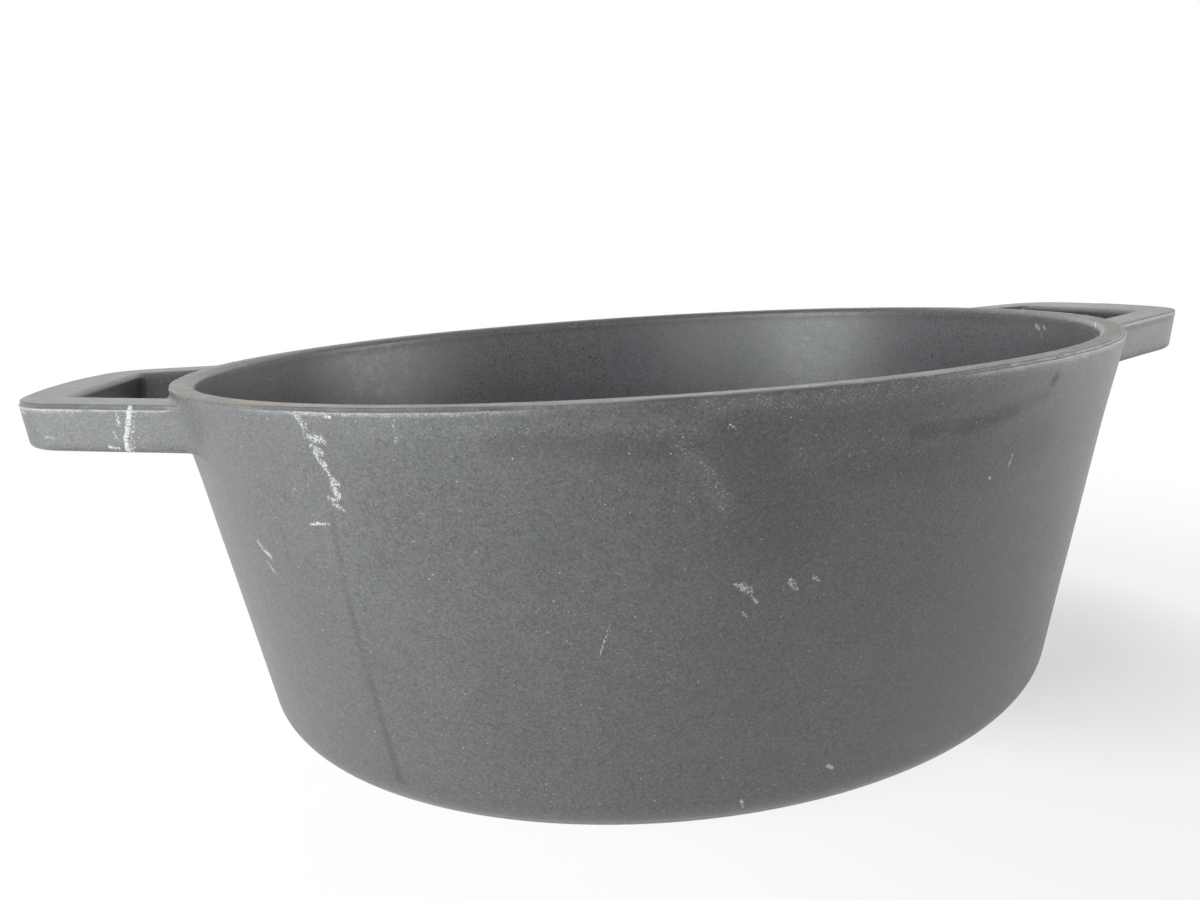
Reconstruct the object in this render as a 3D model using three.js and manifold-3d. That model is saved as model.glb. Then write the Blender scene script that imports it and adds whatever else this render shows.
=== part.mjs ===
// Oval cast iron casserole, shown without a lid: a leaning oval pot with a loop handle at each end.
// Millimetres, +Z up. The origin is the middle of the underside, and +X runs along the pot's length.

import * as THREE from 'three';
import { mergeVertices } from 'three/addons/utils/BufferGeometryUtils.js';
import Module from 'manifold-3d';

// The pot
const RIM_LENGTH = 290; // outside of the rim along X
const RIM_WIDTH = 244; // outside of the rim along Y
const POT_HEIGHT = 108; // underside to the top of the rim
const WALL_DRAFT = 8; // degrees that the wall leans in on its way down
const WALL_THICKNESS = 5.5; // measured level
const FLOOR_THICKNESS = 6;
const FOOT_RADIUS = 13; // round edge between the underside and the wall
const INSIDE_RADIUS = 10; // fillet between the floor and the wall inside
const LIP_HEIGHT = 3; // the ground lip that tops the wall
const LIP_OUTER_ROUND = 1.2;
const LIP_INNER_ROUND = 2;

// The handles
const HANDLE_REACH = 36; // from the end of the rim to the outermost point of the grip
const HANDLE_DROP = 2; // from the top of the rim down to the handle at the end of the rim
const HANDLE_RISE = 3; // degrees that the handle climbs on its way out
const HANDLE_HEIGHT = 12.5;
const HANDLE_DRAFT = 6; // degrees that the sides of the bar lean in on their way down
const HANDLE_SPREAD = 94; // across both arms, outside, at the end of the rim
const ARM_LEAN = 18.5; // degrees that each arm leans towards the other on its way out
const CORNER_RADIUS = 18; // outside of the bend from an arm into the grip
const GRIP_BOW_RADIUS = 137; // outside of the grip
const GRIP_WIDTH = 14; // of the bar across the grip's middle, under its rounded edge
const ARM_WIDTH = 13; // of the bar along each arm, under its rounded edge
const LOOP_BOW_RADIUS = 400; // inside of the grip
const LOOP_CORNER_RADIUS = 2.5; // inside corners of the loop
const LOOP_ROUND = 2; // upper edge round the loop, which the fingers bear on
const EDGE_ROUND = 0.8; // upper and lower edge outside
const SEAT_GAP = 0.3; // between a handle's root and the wall that it seats on

// How finely the curves are cut into flats
const OVAL_STEPS = 96;
const ROUND_STEPS = 4;
const PLAN_STEPS = 8;
const MERGE_DISTANCE = 1e-4;

const radians = THREE.MathUtils.degToRad;
const halfLength = RIM_LENGTH / 2;
const lean = radians(WALL_DRAFT);

const wasm = await Module();
wasm.setup();

// The pot is as much narrower than it is long at every height, so its wall leans alike all round.
const squeeze = (RIM_LENGTH - RIM_WIDTH) / 2;

// Half the length of the pot's outside and inside at a height on the straight wall.
function outsideOfWall(height) {
  return halfLength - (POT_HEIGHT - height) * Math.tan(lean);
}

function insideOfWall(height) {
  return outsideOfWall(height) - WALL_THICKNESS;
}

function arc(x, y, radius, from, to, steps = ROUND_STEPS) {
  const points = [];
  for (let step = 0; step <= steps; step += 1) {
    const angle = from + ((to - from) * step) / steps;
    points.push(new THREE.Vector2(x + radius * Math.cos(angle), y + radius * Math.sin(angle)));
  }
  return points;
}

// The round that joins a level face to the leaning wall above it.
function footArc(wall, level, radius) {
  const centre = wall(level) - (radius * (1 - Math.sin(lean))) / Math.cos(lean);
  return arc(centre, level + radius, radius, -Math.PI / 2, -lean);
}

const outsideProfile = [
  ...footArc(outsideOfWall, 0, FOOT_RADIUS),
  new THREE.Vector2(outsideOfWall(POT_HEIGHT), POT_HEIGHT),
];

const insideProfile = [
  ...footArc(insideOfWall, FLOOR_THICKNESS, INSIDE_RADIUS),
  new THREE.Vector2(insideOfWall(POT_HEIGHT), POT_HEIGHT),
];

// The point of a rising profile at a height.
function pointAt(profile, height) {
  const next = Math.max(1, profile.findIndex((point) => point.y >= height));
  const share = (height - profile[next - 1].y) / (profile[next].y - profile[next - 1].y);
  return new THREE.Vector2().lerpVectors(profile[next - 1], profile[next], share);
}

// The stretch of a rising profile between two heights.
function stretch(profile, low, high) {
  const between = profile.filter((point) => point.y > low && point.y < high);
  return [pointAt(profile, low), ...between, pointAt(profile, high)];
}

// A geometry with shared vertices and no triangles without area.
function weld(geometry) {
  const bare = geometry.clone();
  bare.deleteAttribute('normal');
  bare.deleteAttribute('uv');
  const welded = mergeVertices(bare, MERGE_DISTANCE);
  const corners = [...welded.index.array];
  const kept = [];
  for (let first = 0; first < corners.length; first += 3) {
    const [a, b, c] = corners.slice(first, first + 3);
    if (a !== b && b !== c && c !== a) {
      kept.push(a, b, c);
    }
  }
  welded.setIndex(kept);
  welded.computeVertexNormals();
  return welded;
}

// A profile swept round the pot's oval. What lies inside flatRadius keeps one ratio of width to length.
function ovalSweep(profile, flatRadius) {
  const round = new THREE.LatheGeometry(profile, OVAL_STEPS);
  round.rotateX(Math.PI / 2);
  const position = round.getAttribute('position');
  for (let index = 0; index < position.count; index += 1) {
    const radius = Math.max(flatRadius, Math.hypot(position.getX(index), position.getY(index)));
    position.setY(index, (position.getY(index) * (radius - squeeze)) / radius);
  }
  return weld(round);
}

function toSolid(geometry) {
  return new wasm.Manifold(
    new wasm.Mesh({
      numProp: 3,
      vertProperties: geometry.getAttribute('position').array,
      triVerts: new Uint32Array(geometry.index.array),
    }),
  );
}

function toGeometry(solid) {
  const mesh = solid.getMesh();
  const geometry = new THREE.BufferGeometry();
  geometry.setAttribute('position', new THREE.BufferAttribute(mesh.vertProperties, mesh.numProp));
  geometry.setIndex(new THREE.BufferAttribute(mesh.triVerts, 1));
  geometry.computeVertexNormals();
  return geometry;
}

// The flat plate under the pot, with the lower part of the round foot.
function potFloor() {
  const edge = stretch(outsideProfile, 0, FLOOR_THICKNESS);
  const profile = [new THREE.Vector2(0, 0), ...edge, new THREE.Vector2(0, FLOOR_THICKNESS)];
  return ovalSweep(profile, edge[0].x);
}

// The leaning wall, from the floor plate up to the lip.
function potWall() {
  const top = POT_HEIGHT - LIP_HEIGHT;
  const outside = stretch(outsideProfile, FLOOR_THICKNESS, top);
  const inside = stretch(insideProfile, FLOOR_THICKNESS, top);
  const profile = [...outside, ...inside.reverse(), outside[0]];
  return ovalSweep(profile, inside[inside.length - 1].x);
}

// The lip, with a small round outside, a flat top that a lid rests on and a larger round inside.
function rimLip() {
  const base = POT_HEIGHT - LIP_HEIGHT;
  const outerHeight = POT_HEIGHT - LIP_OUTER_ROUND;
  const innerHeight = POT_HEIGHT - LIP_INNER_ROUND;
  const outerCentre = outsideOfWall(outerHeight) - LIP_OUTER_ROUND / Math.cos(lean);
  const innerCentre = insideOfWall(innerHeight) + LIP_INNER_ROUND / Math.cos(lean);
  const start = new THREE.Vector2(outsideOfWall(base), base);
  const profile = [
    start,
    ...arc(outerCentre, outerHeight, LIP_OUTER_ROUND, -lean, Math.PI / 2),
    ...arc(innerCentre, innerHeight, LIP_INNER_ROUND, Math.PI / 2, Math.PI - lean),
    new THREE.Vector2(insideOfWall(base), base),
    start,
  ];
  return ovalSweep(profile, insideOfWall(base));
}

// Everything inside the wall's outer face, grown by the seat gap: what a handle's arms end against.
function handleSeat() {
  const outside = stretch(outsideProfile, 0, POT_HEIGHT);
  const grown = outside.map((point) => new THREE.Vector2(point.x + SEAT_GAP, point.y));
  const top = POT_HEIGHT + HANDLE_REACH;
  const profile = [
    new THREE.Vector2(0, 0),
    ...grown,
    new THREE.Vector2(grown[grown.length - 1].x, top),
    new THREE.Vector2(0, top),
  ];
  return ovalSweep(profile, grown[0].x);
}

// How far the oval rim falls back from its end at a distance across from the pot's long axis.
function rimSetback(across) {
  return halfLength * (1 - Math.sqrt(1 - (across / (RIM_WIDTH / 2)) ** 2));
}

// A plan outline of the loop: two leaning sides joined by a bowed end, closed inside the pot.
// X is counted from the end of the rim, where the outline is 2 * half wide.
function loopOutline(half, reach, bow, corner) {
  const armLean = radians(ARM_LEAN);
  const slope = Math.tan(armLean);
  const bowCentre = reach - bow;

  // A corner's centre lies one corner radius inside both the side's line and the bow.
  const offset = half - corner / Math.cos(armLean);
  const square = 1 + slope * slope;
  const linear = bowCentre + offset * slope;
  const constant = bowCentre * bowCentre + offset * offset - (bow - corner) ** 2;
  const cornerX = (linear + Math.sqrt(linear * linear - square * constant)) / square;
  const cornerY = offset - cornerX * slope;
  const sideTurn = Math.PI / 2 - armLean;
  const bowTurn = Math.atan2(cornerY, cornerX - bowCentre);

  // The sides start inside the pot, past the round of the rim's end and the bar's own width.
  const startX = -(rimSetback(HANDLE_SPREAD / 2) + ARM_WIDTH);
  const startY = half - startX * slope;

  return [
    new THREE.Vector2(startX, -startY),
    ...arc(cornerX, -cornerY, corner, -sideTurn, -bowTurn, PLAN_STEPS),
    ...arc(bowCentre, 0, bow, -bowTurn, bowTurn, PLAN_STEPS).slice(1, -1),
    ...arc(cornerX, cornerY, corner, bowTurn, sideTurn, PLAN_STEPS),
    new THREE.Vector2(startX, startY),
  ];
}

// The outline of the handle's outside, drawn in by an inset.
function outerOutline(inset) {
  const half = HANDLE_SPREAD / 2 - inset / Math.cos(radians(ARM_LEAN));
  return loopOutline(half, HANDLE_REACH - inset, GRIP_BOW_RADIUS - inset, CORNER_RADIUS - inset);
}

// The outline of the opening in the loop, spread by a growth that leaves its corners as sharp.
function openingOutline(growth) {
  const half = HANDLE_SPREAD / 2 - (ARM_WIDTH - growth) / Math.cos(radians(ARM_LEAN));
  const reach = HANDLE_REACH - GRIP_WIDTH + growth;
  return loopOutline(half, reach, LOOP_BOW_RADIUS, LOOP_CORNER_RADIUS);
}

// A solid through outlines stacked from the top down, each with as many points as the next.
function loft(layers) {
  const count = layers[0].outline.length;
  const positions = [];
  const faces = [];
  layers.forEach(({ outline, depth }) => {
    outline.forEach((point) => positions.push(point.x, point.y, -depth));
  });
  for (let layer = 0; layer + 1 < layers.length; layer += 1) {
    for (let index = 0; index < count; index += 1) {
      const above = layer * count + index;
      const aboveNext = layer * count + ((index + 1) % count);
      faces.push(above, above + count, aboveNext, aboveNext, above + count, aboveNext + count);
    }
  }
  const last = (layers.length - 1) * count;
  THREE.ShapeUtils.triangulateShape(layers[0].outline, []).forEach(([a, b, c]) => {
    faces.push(a, b, c, last + a, last + c, last + b);
  });
  const geometry = new THREE.BufferGeometry();
  geometry.setAttribute('position', new THREE.Float32BufferAttribute(positions, 3));
  geometry.setIndex(faces);
  return geometry;
}

// How far the draft draws a side in at a depth below the handle's top.
function draftAt(depth) {
  return depth * Math.tan(radians(HANDLE_DRAFT));
}

// The handle as a solid plate, with its upper and lower edges rounded.
function handlePlate() {
  const layers = [];
  const upper = arc(EDGE_ROUND, EDGE_ROUND, EDGE_ROUND, -Math.PI / 2, -Math.PI);
  const lower = arc(EDGE_ROUND, HANDLE_HEIGHT - EDGE_ROUND, EDGE_ROUND, Math.PI, Math.PI / 2);
  [...upper, ...lower].forEach((point) => {
    layers.push({ outline: outerOutline(point.x + draftAt(point.y)), depth: point.y });
  });
  return loft(layers);
}

// What the opening takes out of the plate: it flares over the rounded edge and widens downwards.
function loopOpening() {
  const layers = [{ outline: openingOutline(LOOP_ROUND), depth: -HANDLE_HEIGHT }];
  arc(LOOP_ROUND, LOOP_ROUND, LOOP_ROUND, -Math.PI / 2, -Math.PI).forEach((point) => {
    layers.push({ outline: openingOutline(point.x + draftAt(point.y)), depth: point.y });
  });
  const under = 2 * HANDLE_HEIGHT;
  layers.push({ outline: openingOutline(draftAt(under)), depth: under });
  return loft(layers);
}

// The handle at the +X end: a plate with its opening, tilted to its rise and cut to the wall.
function loopHandle() {
  const loop = toGeometry(toSolid(handlePlate()).subtract(toSolid(loopOpening())));
  loop.rotateY(-radians(HANDLE_RISE));
  loop.translate(halfLength, 0, POT_HEIGHT - HANDLE_DROP);
  return toGeometry(toSolid(loop).subtract(toSolid(handleSeat())));
}

function seasonedIron() {
  return new THREE.MeshStandardMaterial({ color: 0x57575a, roughness: 0.62, metalness: 0.35 });
}

function groundIron() {
  return new THREE.MeshStandardMaterial({ color: 0x8b8682, roughness: 0.5, metalness: 0.6 });
}

function piece(name, geometry, material) {
  const mesh = new THREE.Mesh(geometry, material);
  mesh.name = name;
  return mesh;
}

const handleGeometry = loopHandle();
const rightHandle = piece('right_handle', handleGeometry, seasonedIron());
const leftHandle = piece('left_handle', handleGeometry.clone(), seasonedIron());
leftHandle.rotation.z = Math.PI;

const casserole = new THREE.Group();
casserole.add(
  piece('pot_floor', potFloor(), seasonedIron()),
  piece('pot_wall', potWall(), seasonedIron()),
  piece('rim_lip', rimLip(), groundIron()),
  rightHandle,
  leftHandle,
);

export default casserole;
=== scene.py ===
"""Oval cast iron casserole: its looks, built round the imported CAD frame.

Metres, +Z up. The origin is the middle of the underside, and +X runs along the pot's length.
"""

import math

import bmesh
import bpy
from mathutils import Matrix, Vector, noise


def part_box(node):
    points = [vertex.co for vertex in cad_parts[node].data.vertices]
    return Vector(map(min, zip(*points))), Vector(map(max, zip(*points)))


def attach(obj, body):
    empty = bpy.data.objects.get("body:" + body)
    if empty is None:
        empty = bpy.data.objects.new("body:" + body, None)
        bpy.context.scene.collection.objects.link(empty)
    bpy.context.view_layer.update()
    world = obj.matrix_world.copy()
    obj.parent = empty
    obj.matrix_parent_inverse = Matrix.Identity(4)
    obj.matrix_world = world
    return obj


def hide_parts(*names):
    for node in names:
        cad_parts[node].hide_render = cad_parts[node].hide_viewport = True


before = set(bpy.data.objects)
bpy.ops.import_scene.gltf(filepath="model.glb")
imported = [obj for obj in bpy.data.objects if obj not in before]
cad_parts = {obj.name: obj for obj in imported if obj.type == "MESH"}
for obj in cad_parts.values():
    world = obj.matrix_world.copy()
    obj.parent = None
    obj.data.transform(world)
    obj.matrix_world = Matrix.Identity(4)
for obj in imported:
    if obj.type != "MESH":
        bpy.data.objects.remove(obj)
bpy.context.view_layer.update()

MM = 0.001
TENTH_MM = 0.0001


def mm(low, high):
    """Two sizes that are given in millimetres."""
    return low * MM, high * MM


# Sizes of the pot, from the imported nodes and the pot's own draft
wall_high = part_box("pot_wall")[1]
POT_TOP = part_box("rim_lip")[1].z
LIP_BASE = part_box("rim_lip")[0].z
FLOOR_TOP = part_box("pot_floor")[1].z
WALL_DRAFT = math.radians(8)
DRAFT_SLOPE = math.tan(WALL_DRAFT)
HALF_LENGTH = wall_high.x + (POT_TOP - LIP_BASE) * DRAFT_SLOPE
HALF_WIDTH = wall_high.y + (POT_TOP - LIP_BASE) * DRAFT_SLOPE
SQUEEZE = HALF_LENGTH - HALF_WIDTH
WALL_THICKNESS = 5.5 * MM
FOOT_RADIUS = 13 * MM
INSIDE_RADIUS = 10 * MM
TOE_TUCK = 0.1 * MM
RIM_FLARE = 0.6 * MM
FLARE_START = 80 * MM

# The parting step: a small ledge that the mould left round the rim and the handles
RIM_STEP_DEPTH = 0.9 * MM
STEP_WIDTH = 0.42 * MM
STEP_EDGE_ROUND = 0.22 * MM
STEP_CORNER_RISE = 0.15 * MM
STEP_CORNER_ROUND = 0.12 * MM
RISER_LEAN = 0.05 * MM
RIM_OUTER_ROUND = 0.25 * MM
RIM_INNER_ROUND = 2 * MM

# The worn outer edge of the lip's top, and the chips in it
EDGE_WIDTH = 2 * MM
EDGE_DROP = 0.45 * MM
TOP_EDGE_DEPTH = 0.2 * MM
CHIP_LENGTH = 1.7 * MM
CHIP_DEPTH = 1.1 * MM
CHIP_FLOOR = 0.05

# Stretches of the rim, by where along X each starts or ends
RIGHT_SIDE_STARTS = mm(15, 50)
LEFT_END_ENDS = mm(-118, -98)
FRONT_STARTS = mm(-45, -25)
FRONT_ENDS = mm(10, 30)

# Where the lip's finishes fade, by the depth or by the inset from its edge
WORN_BELOW_STEP = mm(0.2, 1.5)
# The dark groove band is partly residue and partly painted shade in the parting step's recess
RESIDUE_AND_SHADE_INSET = mm(0.7, 1.9)
RESIDUE_AND_SHADE_DEPTH = mm(0.02, 0.2)
INNER_SKIN_DEPTH = mm(0.3, 1.2)
BARE_DEPTH = mm(0.05, 0.5)
BARE_INSET = mm(0.6, 2)
PITTED_INSET = mm(1.2, 2.6)
PITTED_BELOW_STEP = mm(-0.1, 0.1)
FRONT_RESIDUE_AND_SHADE = (0, 0.08)

# The unevenness of the sand casting: the length and height of its bumps
FLOOR_BUMPS = mm(26, 0.1)
WALL_BUMPS = mm(30, 0.08)
LIP_BUMPS = mm(9, 0.07)
STEP_BUMPS = mm(6, 0.09)
HANDLE_BUMPS = mm(14, 0.07)
EDGE_BUMP_LENGTH = 2.6 * MM
EDGE_BUMP_HEIGHT = 0.06 * MM
BROKEN_BUMP_HEIGHT = 0.14 * MM
NARROW_SHIFT = Vector((7, 3, 5))
STEP_SHIFT = Vector((1, 2, 3))

# Where the bumps fade in, by the distance from the form that is named
OFF_FILLET = mm(4, 14)
OFF_FLOOR = mm(5, 18)
OFF_LIP = mm(1, 12)
OFF_WALL = mm(0, 1.2)
WALL_OFF_ROOT = mm(14, 32)
HANDLE_OFF_ROOT = mm(10, 24)

# Sizes of a handle
HANDLE_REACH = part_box("right_handle")[1].x - HALF_LENGTH
HANDLE_DROP = 2 * MM
HANDLE_RISE = math.radians(3)
HANDLE_TILT = Matrix.Rotation(-HANDLE_RISE, 3, "Y")
HANDLE_HEIGHT = 12.5 * MM
HANDLE_DRAFT = math.radians(6)
HANDLE_SPREAD = 94 * MM
ARM_LEAN = math.radians(18.5)
CORNER_RADIUS = 18 * MM
GRIP_BOW_RADIUS = 137 * MM
GRIP_WIDTH = 14 * MM
ARM_WIDTH = 13 * MM
LOOP_BOW_RADIUS = 400 * MM
LOOP_CORNER_RADIUS = 2.5 * MM
LOOP_ROUND = 2 * MM
GRIP_STEP_DEPTH = 1.2 * MM
GRIP_TOP_ROUND = 0.45 * MM
GRIP_TOP_MARGIN = 0.6 * MM
GRIP_FACE_START = 0.7 * MM
GRIP_FOOT_ROUND = 1.3 * MM
GROOVE_ENDS = mm(168, 177)

# A handle's parting step, line by line: inset, depth below the step, facing turn, worn, groove (dark
# residue and painted shade)
GRIP_STEP_LINES = [
    (STEP_WIDTH + 0.02 * MM, -0.25 * MM, 3.5, 0, 1),
    (STEP_WIDTH, -0.08 * MM, 3, 0, 1),
    (STEP_WIDTH * 0.7, 0, 2.5, 0.3, 0.6),
    (0.18 * MM, 0.08 * MM, 2, 1, 0),
    (0.06 * MM, 0.18 * MM, 1.5, 1, 0),
    (0.06 * MM, 0.35 * MM, 1, 1, 0),
]
SHUT_INSET = 0.04 * MM

# Where an arm runs into the wall, and its fillets there: outside, above, in the loop and below
ROOT_PLACE = Vector((131, 49, 97)) * MM
ROOT_FILLETS = [5 * MM, 1.3 * MM, 4.5 * MM, 2.5 * MM]

# The share of the rim's parting step that is left, from place to place along X
STEP_PLACES = (-150, -118, -95, -67, -47, -30, 5, 22, 48, 118, 140)
STEP_SHARES = (0.25, 0.25, 1.0, 1.0, 0.3, 0.1, 0.1, 0.4, 0.9, 0.9, 0.3)
STEP_LEFT = [(x * MM, share) for x, share in zip(STEP_PLACES, STEP_SHARES)]

# How finely the curves are cut
OVAL_STEPS = 240
LIP_STEPS = 900
WALL_STEP = 3 * MM
CORNER_STATIONS = 14
BOW_STATIONS = 28
ARM_STATIONS = 10
ROOT_CLEARANCES = [c * MM for c in (-0.8, -0.04, 0, 0.03, 0.12, 0.4, 0.8, 1.3, 1.9, 2.6, 3.4, 4.3, 5.4, 7)]
ROOT_SKIRT = 0.2
STEP_DIES_OUT = (8, 14)
LIP_STEP = 0.4 * MM
FOOT_CUTS = 14
FILLET_CUTS = 12
HAIR = 0.03 * MM
FINE_HAIR = 0.02 * MM
LONGEST_ARM = 0.09
WELD_DISTANCE = 1e-6
SMOOTH_ANGLE = math.radians(38)


def ramp(value, low, high):
    """A soft step from 0 at low to 1 at high."""
    share = min(1, max(0, (value - low) / (high - low)))
    return share * share * (3 - 2 * share)


def leaning_at(height):
    """Half the length of the pot's straight leaning side at a height."""
    return HALF_LENGTH - (POT_TOP - height) * DRAFT_SLOPE


def outside_at(height):
    """Half the length of the pot's outside at a height, with the small flare under the rim."""
    return leaning_at(height) + RIM_FLARE * ramp(height, FLARE_START, POT_TOP)


def inside_at(height):
    """Half the length of the pot's inside at a height on the leaning wall."""
    return leaning_at(height) - WALL_THICKNESS


def draw_wire(bm, corners, closed=False):
    """A profile in the XZ plane. Each corner is (x, z) or (x, z, radius, steps) where it is round."""
    points = [Vector((x, 0, z)) for x, z, *_ in corners]
    verts = [bm.verts.new(point) for point in points]
    for first, second in zip(verts, verts[1:]):
        bm.edges.new((first, second))
    if closed:
        bm.edges.new((verts[-1], verts[0]))
    for index, (_, _, *rounding) in enumerate(corners):
        if not rounding:
            continue
        radius, steps = rounding
        arriving = points[index] - points[index - 1]
        leaving = points[(index + 1) % len(points)] - points[index]
        tangent = radius * math.tan(arriving.angle(leaving) / 2)
        bmesh.ops.bevel(
            bm,
            geom=[verts[index]],
            offset=tangent,
            offset_type="OFFSET",
            segments=steps,
            profile=0.5,
            affect="VERTICES",
            material=-1,
        )


def cut_wire(bm, height, keep_above):
    """Keeps the part of a profile above or below a height."""
    bmesh.ops.bisect_plane(
        bm,
        geom=bm.verts[:] + bm.edges[:],
        dist=WELD_DISTANCE,
        plane_co=(0, 0, height),
        plane_no=(0, 0, 1),
        clear_inner=keep_above,
        clear_outer=not keep_above,
    )


def divide_long_edges(bm, step):
    """Cuts the long straight edges of a profile into pieces of about one step."""
    lengths = {}
    for edge in bm.edges:
        cuts = int(edge.calc_length() / step)
        if cuts:
            lengths.setdefault(cuts, []).append(edge)
    for cuts, edges in lengths.items():
        bmesh.ops.subdivide_edges(bm, edges=edges, cuts=cuts)


def spin_oval(bm, flat_radius, steps=OVAL_STEPS):
    """Spins a profile round the pot's axis and presses the round form to the pot's oval."""
    bmesh.ops.spin(
        bm,
        geom=bm.verts[:] + bm.edges[:],
        cent=(0, 0, 0),
        axis=(0, 0, 1),
        angle=math.tau,
        steps=steps,
        use_merge=True,
    )
    bmesh.ops.remove_doubles(bm, verts=bm.verts, dist=WELD_DISTANCE)
    for vert in bm.verts:
        radius = max(flat_radius, math.hypot(vert.co.x, vert.co.y))
        vert.co.y *= (radius - SQUEEZE) / radius
    bmesh.ops.recalc_face_normals(bm, faces=bm.faces)


def outward(place):
    """The level direction that leads straight out of the pot's oval."""
    return Vector((place.x / HALF_LENGTH**2, place.y / HALF_WIDTH**2, 0)).normalized()


def root_gap(place):
    """How far a place is from the nearest handle root."""
    along = math.copysign(ROOT_PLACE.x, place.x)
    across = math.copysign(ROOT_PLACE.y, place.y)
    return (place - Vector((along, across, ROOT_PLACE.z))).length


def sand_waviness(place, length, height):
    """The unevenness of a sand casting: bumps about one length long and one height high."""
    wide = noise.noise(place / length)
    narrow = noise.noise(place * 2.7 / length + NARROW_SHIFT)
    return height * (wide + 0.35 * narrow)


def finish_piece(bm, name, material, node):
    """Makes the mesh object of a piece and ties it to the frame."""
    mesh = bpy.data.meshes.new(name)
    bm.to_mesh(mesh)
    bm.free()
    mesh.polygons.foreach_set("use_smooth", [True] * len(mesh.polygons))
    mesh.set_sharp_from_angle(angle=SMOOTH_ANGLE)
    mesh.materials.append(material)
    piece = bpy.data.objects.new(name, mesh)
    bpy.context.collection.objects.link(piece)
    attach(piece, "root")
    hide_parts(node)
    return piece


def floor_plate(material):
    """The flat plate under the pot, with the lower part of its round foot."""
    bm = bmesh.new()
    wall_above = FLOOR_TOP + FOOT_RADIUS
    draw_wire(
        bm,
        [
            (0, 0),
            (outside_at(0), 0, FOOT_RADIUS, FOOT_CUTS),
            (outside_at(wall_above), wall_above),
        ],
    )
    cut_wire(bm, FLOOR_TOP, keep_above=False)
    edge_end = max(bm.verts, key=lambda vert: vert.co.z)
    middle = bm.verts.new((0, 0, FLOOR_TOP))
    bm.edges.new((edge_end, middle))
    divide_long_edges(bm, WALL_STEP)
    inner = bm.verts.layers.float.new("pot_inside")
    for vert in bm.verts:
        vert[inner] = 1 if vert.co.z > FLOOR_TOP - HAIR else 0
    spin_oval(bm, outside_at(0) - FOOT_RADIUS)
    flat_reach = inside_at(FLOOR_TOP) - INSIDE_RADIUS
    for vert in bm.verts:
        reach = math.hypot(vert.co.x, vert.co.y * HALF_LENGTH / HALF_WIDTH)
        if vert.co.z > FLOOR_TOP - HAIR:
            fade = ramp(flat_reach - reach, *OFF_FILLET)
            vert.co.z += fade * sand_waviness(vert.co, *FLOOR_BUMPS)
    return finish_piece(bm, "floor_plate", material, "pot_floor")


def leaning_wall(material):
    """The leaning oval wall, from the floor plate to the lip, with the fillet inside."""
    bm = bmesh.new()
    draw_wire(
        bm,
        [
            (outside_at(0) - 2 * FOOT_RADIUS, 0),
            (outside_at(0), 0, FOOT_RADIUS, FOOT_CUTS),
            (leaning_at(LIP_BASE), LIP_BASE),
            (inside_at(LIP_BASE), LIP_BASE),
        ],
    )
    cut_wire(bm, FLOOR_TOP, keep_above=True)
    draw_wire(
        bm,
        [
            (inside_at(LIP_BASE), LIP_BASE),
            (inside_at(FLOOR_TOP), FLOOR_TOP, INSIDE_RADIUS, FILLET_CUTS),
            (inside_at(FLOOR_TOP) - INSIDE_RADIUS, FLOOR_TOP),
        ],
    )
    toe = min(bm.verts, key=lambda vert: vert.co.x)
    toe.co.z -= TOE_TUCK
    divide_long_edges(bm, WALL_STEP)
    inner = bm.verts.layers.float.new("pot_inside")
    for vert in bm.verts:
        if vert.co.x < inside_at(vert.co.z) + HAIR and vert.co.z < LIP_BASE - HAIR:
            vert[inner] = 1
        if vert.co.z > FLARE_START and vert.co.x > leaning_at(vert.co.z) - HAIR:
            vert.co.x = outside_at(vert.co.z)
    bmesh.ops.remove_doubles(bm, verts=bm.verts, dist=WELD_DISTANCE)
    ends = [vert for vert in bm.verts if len(vert.link_edges) == 1]
    bm.edges.new(ends)
    spin_oval(bm, inside_at(FLOOR_TOP) - INSIDE_RADIUS)
    for vert in bm.verts:
        fade = ramp(vert.co.z - FLOOR_TOP, *OFF_FLOOR)
        fade *= ramp(LIP_BASE - vert.co.z, *OFF_LIP)
        fade *= ramp(root_gap(vert.co), *WALL_OFF_ROOT)
        vert.co += outward(vert.co) * fade * sand_waviness(vert.co, *WALL_BUMPS)
    return finish_piece(bm, "leaning_wall", material, "pot_wall")


def step_kept(place):
    """How much of the parting step is left at a place, as it is ground away in front."""
    for (start, share), (end, next_share) in zip(STEP_LEFT, STEP_LEFT[1:]):
        if place.x < end:
            return share + (next_share - share) * ramp(place.x, start, end)
    return STEP_LEFT[-1][1]


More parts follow.
